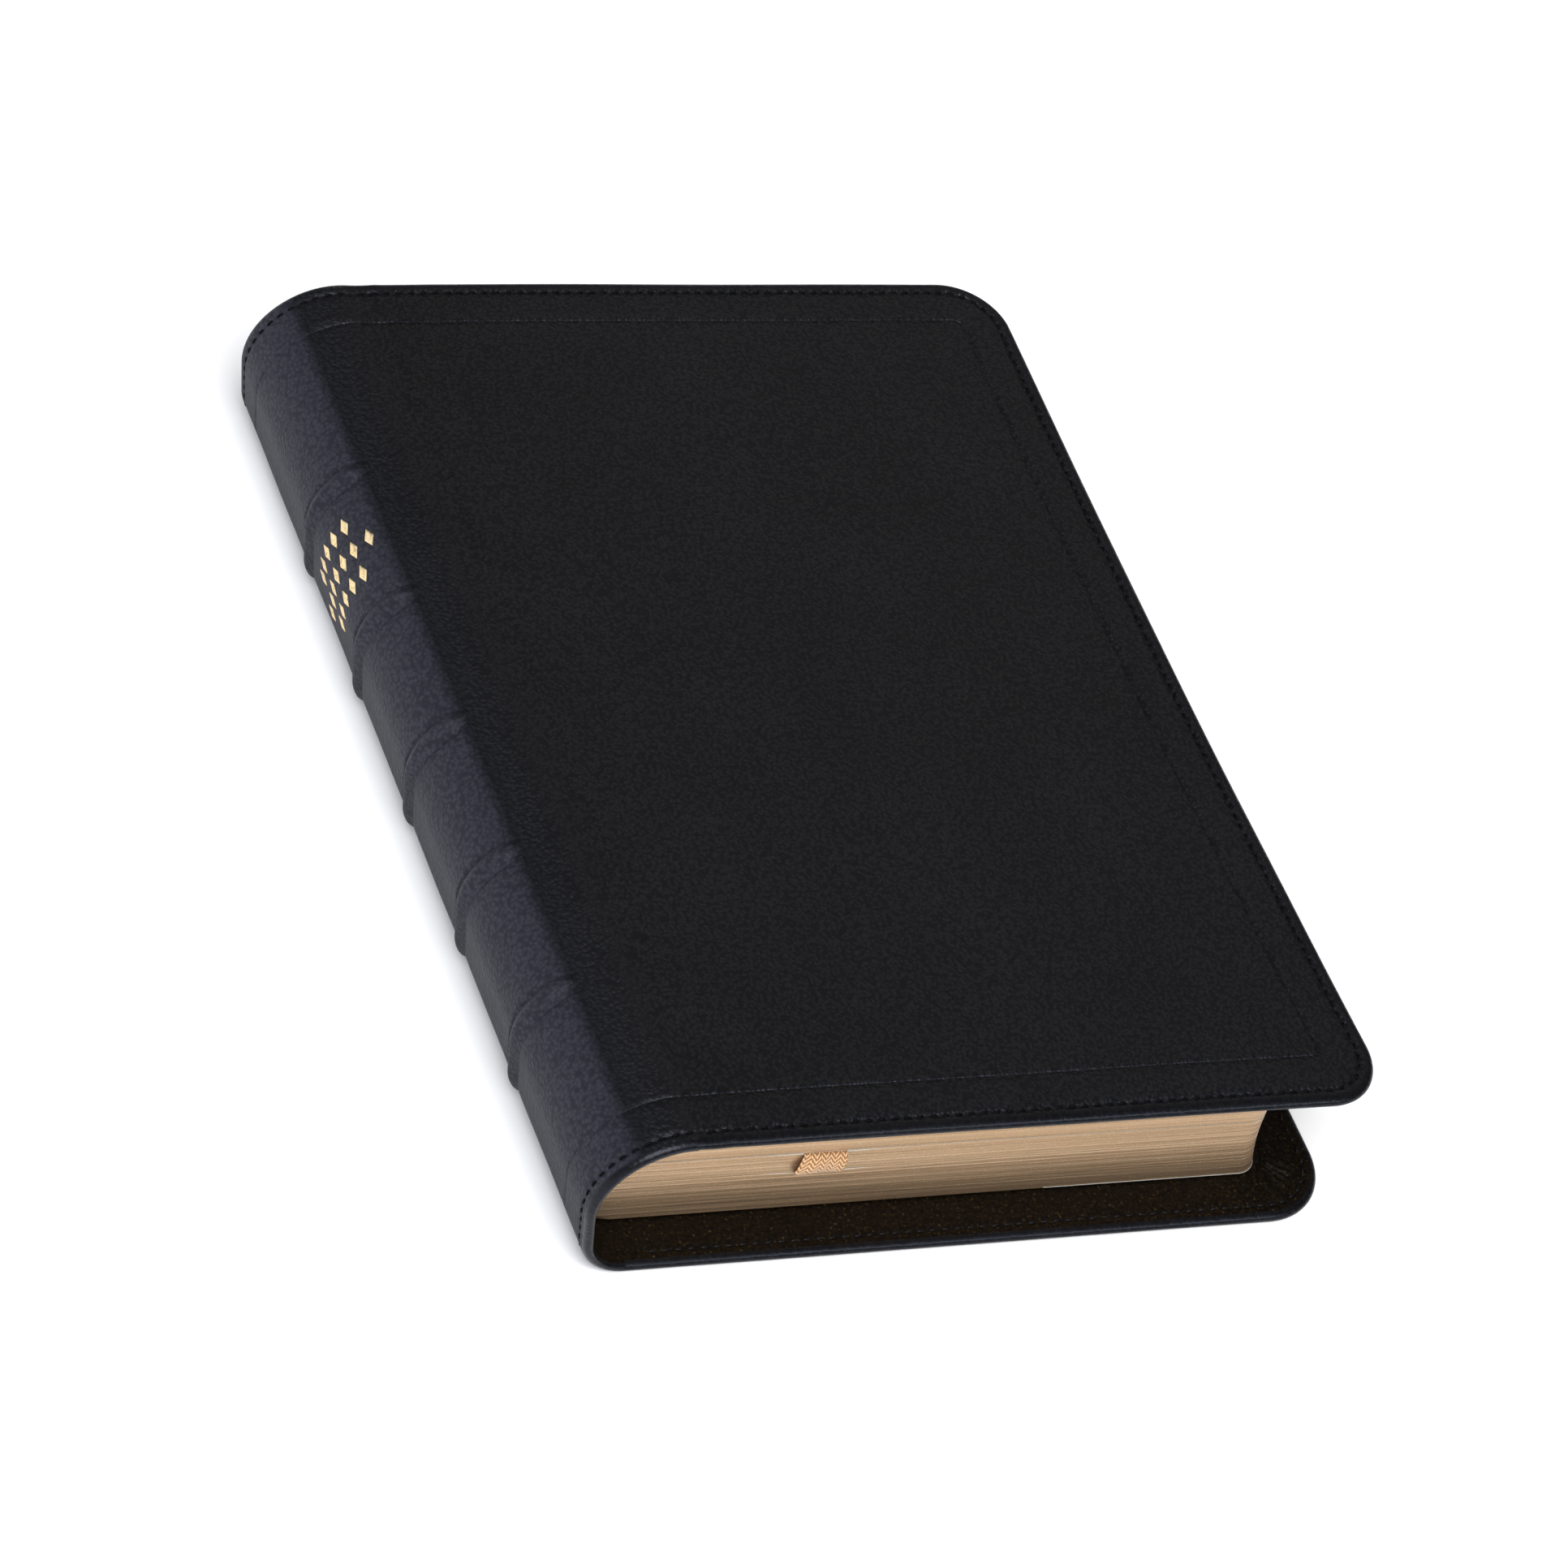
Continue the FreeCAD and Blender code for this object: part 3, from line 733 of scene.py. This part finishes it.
def ribbon(material):
    """Marker ribbon: flat between the leaves, one loose loop outside the tail."""
    path = np.array(ribbon_path())
    drift = RIBBON_LO_X + RIBBON_WIDTH / 2 - RIBBON_X
    ahead, behind = np.roll(path, -1, axis=0), np.roll(path, 1, axis=0)
    ahead[-1], behind[0] = path[-1], path[0]
    tangents = ahead[:, :2] - behind[:, :2]
    tangents /= np.linalg.norm(tangents, axis=1)[:, None]
    lengths = np.concatenate([[0], np.cumsum(np.hypot(*np.diff(path[:, :2], axis=0).T))])
    across = np.linspace(-0.5, 0.5, RIBBON_STEPS)
    columns, rows = len(across), len(path)
    curl_height, curl_rate = RIBBON_CURL
    verts, coords = [], []
    for side in (1, -1):
        for (y, z, share), (ty, tz), length in zip(path, tangents, lengths):
            loose = float(smooth_step(-BLOCK_HALF - y, 0.0, RIBBON_BULGE))
            low = 1 - (z - TUCK_BOTTOM) / (REAR_TOP - TUCK_BOTTOM)
            for u in across:
                left = float(smooth_step(-u, *LOOSE_SIDE))
                half = RIBBON_HALF + SELVAGE_SWELL * loose * (abs(u) > SELVAGE_START)
                x = RIBBON_X + drift * share + u * RIBBON_WIDTH
                x -= LOOSE_SHIFT * loose * low * left
                curl = LOOSE_IN * loose * left * (1 - low) - LOOSE_OUT * loose * left * low
                wave = curl_height * loose * math.sin(curl_rate * u)
                verts.append((x, y + side * half * tz + curl + wave, z - side * half * ty))
                coords.append((u * RIBBON_WIDTH, length))
    size = rows * columns
    faces = grid_faces(rows, columns) + grid_faces(rows, columns, size)
    for i in range(rows - 1):
        for j in (0, columns - 1):
            a, b = i * columns + j, (i + 1) * columns + j
            faces.append((a, b, b + size, a + size))
    for i in (0, rows - 1):
        for j in range(columns - 1):
            a = i * columns + j
            faces.append((a, a + 1, a + 1 + size, a + size))
    obj = build("ribbon", verts, faces, [material])
    uv = obj.data.uv_layers.new(name="weave")
    for loop in obj.data.loops:
        uv.data[loop.index].uv = coords[loop.vertex_index]
    return obj


# ---- gold ornament ----
def ornament(material):
    """Rows of tooled gold lozenges between the first two bands."""
    centre_y = (BANDS[0] + BANDS[1]) / 2
    verts, faces = [], []
    for row, count in enumerate(LOZENGE_ROWS):
        y = centre_y + LOZENGE_ROW_PITCH * (1 - row)
        for i in range(count):
            z = ORNAMENT_Z + LOZENGE_PITCH * (i - (count - 1) / 2)
            s = float(np.interp(-z, -SPINE_POINTS[:, 1], SPINE_LENGTHS))
            add_lozenge(verts, faces, s, y)
    return build("spine_gold", verts, faces, [material])


def add_lozenge(verts, faces, s, y):
    """Lozenge laid on the leather and sunk at its rim."""
    start = len(verts)
    for scale, rise in LOZENGE_SECTION:
        for k in range(LOZENGE_STEPS):
            t = 4 * k / LOZENGE_STEPS
            quarter = (t - int(t)) * math.pi / 2
            reach = scale / (math.cos(quarter) + math.sin(quarter))
            angle = int(t) * math.pi / 2 + quarter
            verts.append(on_spine(s + LOZENGE_HALF_WIDTH * reach * math.cos(angle),
                                  y + LOZENGE_HALF_HEIGHT * reach * math.sin(angle), rise))
    faces += grid_faces(len(LOZENGE_SECTION), LOZENGE_STEPS, start, wrap=True)


# ---- materials ----
def material(name, colour, roughness, metallic=0.0, specular=0.5):
    made = bpy.data.materials.new(name)
    made.use_nodes = True
    shader = made.node_tree.nodes["Principled BSDF"]
    for key, value in (("Base Color", (*colour, 1)), ("Roughness", roughness),
                       ("Metallic", metallic), ("Specular IOR Level", specular)):
        shader.inputs[key].default_value = value
    return made, made.node_tree, shader


def coordinates(tree, scale):
    """Object coordinates in metres, scaled along each axis."""
    source = tree.nodes.new("ShaderNodeTexCoord")
    mapping = tree.nodes.new("ShaderNodeMapping")
    mapping.inputs["Scale"].default_value = scale
    tree.links.new(source.outputs["Object"], mapping.inputs["Vector"])
    return mapping.outputs["Vector"]


def noise(tree, vector, scale, detail=3.0, rough=0.5):
    node = tree.nodes.new("ShaderNodeTexNoise")
    node.inputs["Scale"].default_value = scale
    node.inputs["Detail"].default_value = detail
    node.inputs["Roughness"].default_value = rough
    tree.links.new(vector, node.inputs["Vector"])
    return node.outputs["Fac"]


def ramp(tree, value, stops):
    node = tree.nodes.new("ShaderNodeValToRGB")
    points = node.color_ramp.elements
    while len(points) < len(stops):
        points.new(0.5)
    for point, (position, colour) in zip(points, stops):
        point.position = position
        point.color = (*colour, 1)
    tree.links.new(value, node.inputs["Fac"])
    return node.outputs["Color"]


def spread(tree, value, low, high, from_low=0.0, from_high=1.0):
    node = tree.nodes.new("ShaderNodeMapRange")
    for key, number in (("From Min", from_low), ("From Max", from_high),
                        ("To Min", low), ("To Max", high)):
        node.inputs[key].default_value = number
    tree.links.new(value, node.inputs["Value"])
    return node.outputs["Result"]


def combine(tree, operation, a, b):
    node = tree.nodes.new("ShaderNodeMath")
    node.operation = operation
    for socket, value in zip(node.inputs, (a, b)):
        if isinstance(value, (int, float)):
            socket.default_value = value
        else:
            tree.links.new(value, socket)
    return node.outputs["Value"]


def times(tree, value, factor):
    return combine(tree, "MULTIPLY", value, factor)


def mixed(tree, blend, a, b):
    node = tree.nodes.new("ShaderNodeMix")
    node.data_type = "RGBA"
    node.blend_type = blend
    node.inputs["Factor"].default_value = 1.0
    tree.links.new(a, next(i for i in node.inputs if i.name == "A" and i.type == "RGBA"))
    tree.links.new(b, next(i for i in node.inputs if i.name == "B" and i.type == "RGBA"))
    return next(o for o in node.outputs if o.type == "RGBA")


def bump(tree, shader, height, strength, distance_mm):
    node = tree.nodes.new("ShaderNodeBump")
    node.inputs["Strength"].default_value = strength
    node.inputs["Distance"].default_value = distance_mm * MM
    tree.links.new(height, node.inputs["Height"])
    tree.links.new(node.outputs["Normal"], shader.inputs["Normal"])


def leather(name, dark, light, roughness, grain_mm, relief_mm, specular=0.42, glint=None,
            shoulder=None):
    """Fine-grained leather: pebbles, pores and a faint mottle, with painted shade over a
    shoulder.
    """
    made, tree, shader = material(name, dark, roughness, specular=specular)
    shader.inputs["Specular Tint"].default_value = (0.80, 0.83, 1.0, 1)
    vector = coordinates(tree, (1, 1, 1))
    warp = tree.nodes.new("ShaderNodeTexNoise")
    warp.inputs["Scale"].default_value = 0.4 / (grain_mm * MM)
    tree.links.new(vector, warp.inputs["Vector"])
    shift = tree.nodes.new("ShaderNodeVectorMath")
    shift.operation = "MULTIPLY_ADD"
    shift.inputs[1].default_value = (grain_mm * MM,) * 3
    tree.links.new(warp.outputs["Color"], shift.inputs[0])
    tree.links.new(vector, shift.inputs[2])
    cells = tree.nodes.new("ShaderNodeTexVoronoi")
    cells.feature = "SMOOTH_F1"
    cells.inputs["Scale"].default_value = 1 / (grain_mm * MM)
    cells.inputs["Smoothness"].default_value = 0.5
    tree.links.new(shift.outputs["Vector"], cells.inputs["Vector"])
    pebbles = spread(tree, cells.outputs["Distance"], 1.0, 0.0, 0.1, 0.75)
    fine = noise(tree, vector, 2.5 / (grain_mm * MM), 4.0, 0.6)
    broad = noise(tree, vector, 42.0, 3.0, 0.55)
    height = combine(tree, "ADD", pebbles, times(tree, fine, 0.5))
    bump(tree, shader, height, 1.0, relief_mm)
    tone = combine(tree, "ADD", times(tree, pebbles, 0.7), times(tree, broad, 0.3))
    stops = [(0.2, dark), (0.85, light)]
    if glint:
        flecks = noise(tree, vector, 1.1 / (grain_mm * MM), 3.0, 0.75)
        tone = combine(tree, "ADD", times(tree, tone, 0.5),
                       spread(tree, flecks, 0.0, 0.6, 0.55, 0.72))
        stops = [(0.1, dark), (0.45, light), (0.9, glint)]
    colour = ramp(tree, tone, stops)
    if shoulder:
        turn = tree.nodes.new("ShaderNodeAttribute")
        turn.attribute_name = "shoulder"
        gloss = spread(tree, turn.outputs["Fac"], COVER_SPECULAR, specular, 0.0, SHOULDER_SEAM)
        tree.links.new(gloss, shader.inputs["Specular IOR Level"])
        # painted shade: the shoulder ramp darkens the lit slate colour towards the black of the
        # covers
        share = ramp(tree, turn.outputs["Fac"], shoulder)
        colour = mixed(tree, "MULTIPLY", colour, share)
    tree.links.new(colour, shader.inputs["Base Color"])
    rough = spread(tree, broad, roughness - 0.02, roughness + 0.03, 0.3, 0.7)
    if shoulder:
        smoother = spread(tree, turn.outputs["Fac"], COVER_ROUGHNESS - roughness, 0.0,
                          0.0, SHOULDER_SEAM)
        rough = combine(tree, "ADD", rough, smoother)
    tree.links.new(rough, shader.inputs["Roughness"])
    return made


def gilt_edge():
    """Gold leaf burnished over page edges: streaks along the pages, fine specks."""
    made, tree, shader = material("gilt_edge", (0.5, 0.36, 0.2), 0.42, metallic=0.85)
    streaks = noise(tree, coordinates(tree, (14, 14, 2600)), 1.0, 5.0, 0.62)
    bands = noise(tree, coordinates(tree, (4, 4, 420)), 1.0, 3.0, 0.5)
    specks = noise(tree, coordinates(tree, (1, 1, 1.6)), 2600.0, 2.0, 0.7)
    tone = combine(tree, "ADD", times(tree, streaks, 0.6), times(tree, bands, 0.4))
    colour = ramp(tree, tone, [(0.30, (0.38, 0.25, 0.15)), (0.5, (0.53, 0.36, 0.215)),
                               (0.72, (0.70, 0.51, 0.34))])
    bright = ramp(tree, specks, [(0.56, (0, 0, 0)), (0.74, (0.26, 0.20, 0.11))])
    tree.links.new(mixed(tree, "ADD", colour, bright), shader.inputs["Base Color"])
    tree.links.new(spread(tree, streaks, 0.30, 0.52, 0.3, 0.7), shader.inputs["Roughness"])
    bump(tree, shader, combine(tree, "ADD", streaks, times(tree, specks, 0.25)), 0.7, 0.05)
    return made


def page_paper():
    """Thin white paper with faint fibres."""
    made, tree, shader = material("page_paper", (0.62, 0.59, 0.52), 0.8, specular=0.15)
    fibres = noise(tree, coordinates(tree, (700, 2600, 700)), 1.0, 4.0, 0.6)
    tree.links.new(ramp(tree, fibres, [(0.3, (0.56, 0.53, 0.46)), (0.7, (0.66, 0.63, 0.56))]),
                   shader.inputs["Base Color"])
    bump(tree, shader, fibres, 0.4, 0.02)
    return made


def woven_ribbon():
    """Gold satin ribbon in a fine herringbone weave."""
    made, tree, shader = material("woven_ribbon", (0.72, 0.42, 0.18), 0.42)
    shader.inputs["Sheen Weight"].default_value = 0.35
    source = tree.nodes.new("ShaderNodeUVMap")
    source.uv_map = "weave"
    split = tree.nodes.new("ShaderNodeSeparateXYZ")
    tree.links.new(source.outputs["UV"], split.inputs["Vector"])
    zigzag = combine(tree, "PINGPONG", split.outputs["X"], 0.9)
    slanted = combine(tree, "ADD", times(tree, zigzag, 1.2), split.outputs["Y"])
    threads = combine(tree, "SINE", times(tree, slanted, 2 * math.pi / 0.85), 0.0)
    warp = combine(tree, "SINE", times(tree, split.outputs["X"], 2 * math.pi / 0.45), 0.0)
    weave = combine(tree, "ADD", spread(tree, threads, 0, 0.75, -1, 1),
                    spread(tree, warp, 0, 0.25, -1, 1))
    tree.links.new(ramp(tree, weave, [(0.1, (0.26, 0.095, 0.022)), (0.5, (0.48, 0.24, 0.085)),
                                      (0.9, (0.80, 0.54, 0.29))]), shader.inputs["Base Color"])
    bump(tree, shader, weave, 0.9, 0.12)
    return made


def thread(name, dark, light, specular):
    """Waxed twisted thread."""
    made, tree, shader = material(name, dark, 0.5, specular=specular)
    twist = noise(tree, coordinates(tree, (1, 1, 1)), 3200.0, 2.0)
    tree.links.new(ramp(tree, twist, [(0.3, dark), (0.7, light)]), shader.inputs["Base Color"])
    bump(tree, shader, twist, 0.7, 0.08)
    return made


def gold_leaf():
    """Worn gold foil."""
    made, tree, shader = material("gold_leaf", (0.80, 0.58, 0.26), 0.34, metallic=0.9)
    wear = noise(tree, coordinates(tree, (1, 1, 1)), 1500.0, 3.0, 0.65)
    tree.links.new(ramp(tree, wear, [(0.30, (0.30, 0.19, 0.08)), (0.45, (0.80, 0.60, 0.30)),
                                     (0.8, (0.95, 0.78, 0.46))]), shader.inputs["Base Color"])
    bump(tree, shader, wear, 0.5, 0.05)
    return made


def hidden_card(name, colour):
    """Card or cloth inside the case."""
    made, tree, shader = material(name, colour, 0.85, specular=0.2)
    fibres = noise(tree, coordinates(tree, (900, 300, 900)), 1.0, 4.0, 0.6)
    dark = tuple(c * 0.75 for c in colour)
    tree.links.new(ramp(tree, fibres, [(0.3, dark), (0.7, colour)]), shader.inputs["Base Color"])
    bump(tree, shader, fibres, 0.5, 0.05)
    return made


def floor_surface():
    """Matt near-white floor."""
    return material("studio_floor", (0.96, 0.96, 0.96), 0.7, specular=0.1)[0]


# ---- the object ----
def bend_at_opening(obj):
    """Bake a piece's transform into its mesh; nothing here makes it bend."""
    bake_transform(obj)


def dress():
    """Every visible piece, and fibres on the hidden card and cloth."""
    skin = leather("black_leather", (0.0016, 0.0016, 0.0017), (0.0090, 0.0088, 0.0090),
                   COVER_ROUGHNESS, 0.72, 0.085, specular=COVER_SPECULAR)
    smooth = leather("lining_leather", (0.0018, 0.0011, 0.0006), (0.0060, 0.0036, 0.0018),
                     0.34, 0.8, 0.05, specular=0.10, glint=(0.045, 0.028, 0.011))
    turned = leather("turned_leather", (0.0022, 0.0014, 0.0007), (0.0075, 0.0048, 0.0022),
                     0.50, 0.7, 0.06, specular=0.07, glint=(0.055, 0.036, 0.013))
    edge = leather("burnished_edge", (0.0030, 0.0030, 0.0036), (0.0060, 0.0060, 0.0070),
                   0.34, 0.7, 0.03, specular=0.24)
    # painted light: the spine's leather is the black cover leather painted lighter and bluer, as
    # slate light from the spine lamp
    grained = leather("spine_grain_painted_slate_light", (0.0160, 0.0164, 0.0218), (0.0385, 0.0380, 0.0485),
                      0.56, 0.76, 0.11, specular=0.13, shoulder=SHOULDER_PAINTED_SHADE)
    gilt, paper = gilt_edge(), page_paper()
    needle = thread("needle_thread", (0.0012, 0.0012, 0.0016), (0.004, 0.004, 0.0055), 0.05)
    bobbin = thread("bobbin_thread", (0.0012, 0.0012, 0.0016), (0.0060, 0.0060, 0.0080), 0.16)

    spine = spine_skin(grained, turned, edge)
    bend_at_opening(spine)
    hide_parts("spine_leather_front", "spine_leather_back")

    for side, front, body in (("front", True, "front_cover"), ("back", False, "back_cover")):
        cover = cover_skin(side + "_cover_skin", skin, turned, edge, front)
        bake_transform(cover)
        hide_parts(side + "_cover_leather")
        sheet = lining_sheet(side + "_cover_lining", smooth, front)
        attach(sheet, body)
        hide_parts(side + "_lining")
        for sewn, node in ((needle, "_needle_thread"), (bobbin, "_bobbin_thread")):
            row = cover_stitches(side + node + "_stitches", sewn, front, sewn is needle)
            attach(row, body)
            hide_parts(side + node)

    row = spine_stitches("spine_end_stitches", needle)
    bend_at_opening(row)
    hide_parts("spine_thread_front", "spine_thread_back")

    gold = ornament(gold_leaf())
    bend_at_opening(gold)
    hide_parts("spine_ornament_front", "spine_ornament_back")

    generator = np.random.default_rng(7)
    rear_low = page_block("rear_pages_lower", BLOCK_BOTTOM, TUCK_BOTTOM, LOWER_LIP, gilt,
                          paper, generator)
    rear_high = page_block("rear_pages_upper", TUCK_BOTTOM + TUCK_GAP, REAR_TOP, UPPER_LIP,
                           gilt, paper, generator)
    front = page_block("front_pages_block", FRONT_BOTTOM, BLOCK_TOP, 0.0, gilt, paper,
                       generator)
    names = ["signature_%02d" % i for i in range(1, 25)]
    for block, body, nodes in ((rear_low, "rear_pages", names[:8]),
                               (rear_high, "rear_pages", names[8:12]),
                               (front, "front_pages", names[12:])):
        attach(block, body)
        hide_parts(*nodes)

    fold = gutter_fold(paper)
    bend_at_opening(fold)
    page = leaf(paper, gilt)
    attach(page, "marked_leaf")
    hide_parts("marked_leaf")

    marker = ribbon(woven_ribbon())
    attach(marker, "rear_pages")
    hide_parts("ribbon_marker")

    card = hidden_card("pressed_card", (0.42, 0.35, 0.26))
    cloth = hidden_card("mull_cloth", (0.66, 0.62, 0.52))
    hidden = {"board": card, "inlay": card, "raised_band": card, "mull": cloth}
    for name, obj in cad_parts.items():
        for word in hidden:
            if word in name:
                obj.data.materials.clear()
                obj.data.materials.append(hidden[word])


# ---- studio ----
def studio():
    """Pale floor and world, one broad sun and three soft lamps."""
    bpy.ops.mesh.primitive_plane_add(size=12)
    floor = bpy.context.object
    floor.name = "studio_floor"
    floor.data.materials.append(floor_surface())
    world = bpy.data.worlds.new("studio")
    world.use_nodes = True
    background = world.node_tree.nodes["Background"]
    background.inputs["Color"].default_value = (0.93, 0.96, 1.0, 1)
    background.inputs["Strength"].default_value = 0.04
    bpy.context.scene.world = world
    sun = lamp("key", "SUN", 4.5, (-0.35, -0.62, 0.95))
    sun.angle = math.radians(50)
    soft = lamp("spine_light", "AREA", 19.0, (-1.93, 1.05, 1.02), (0.74, 0.79, 1.0))
    soft.shape = "RECTANGLE"
    soft.size = 2.2
    soft.size_y = 1.5
    card = lamp("top_card", "AREA", 1.7, (1.0, 1.27, 1.47), (1.0, 0.95, 0.86))
    card.size = 1.3
    rim = lamp("edge_light", "AREA", 8.0, (0.95, -1.40, 1.20), (0.86, 0.90, 1.0))
    rim.size = 0.5


def lamp(name, kind, energy, place, colour=(1.0, 1.0, 1.0)):
    """Light at a place in metres, facing the object."""
    data = bpy.data.lights.new(name, kind)
    data.energy = energy
    data.color = colour
    holder = bpy.data.objects.new(name, data)
    holder.location = place
    holder.rotation_mode = "QUATERNION"
    holder.rotation_quaternion = (-Vector(place)).to_track_quat("-Z", "Y")
    bpy.context.collection.objects.link(holder)
    return data


def camera():
    """Camera turned and rolled about its target."""
    azimuth, elevation, roll = map(math.radians, CAMERA_TURN)
    target = Vector(CAMERA_TARGET) * MM
    back = Vector((math.sin(azimuth) * math.cos(elevation),
                   -math.cos(azimuth) * math.cos(elevation), math.sin(elevation)))
    data = bpy.data.cameras.new("camera")
    data.sensor_width = CAMERA_SENSOR
    data.lens = CAMERA_LENS
    data.clip_end = CAMERA_REACH
    cam = bpy.data.objects.new("camera", data)
    right = Vector((0, 0, 1)).cross(back).normalized()
    up = back.cross(right)
    turned_right = right * math.cos(roll) - up * math.sin(roll)
    turned_up = back.cross(turned_right)
    rotation = Matrix((turned_right, turned_up, back)).transposed()
    cam.matrix_world = Matrix.Translation(target + back * CAMERA_DISTANCE) @ rotation.to_4x4()
    bpy.context.collection.objects.link(cam)
    bpy.context.scene.camera = cam


dress()
studio()
camera()
bpy.context.scene.view_settings.view_transform = "Standard"
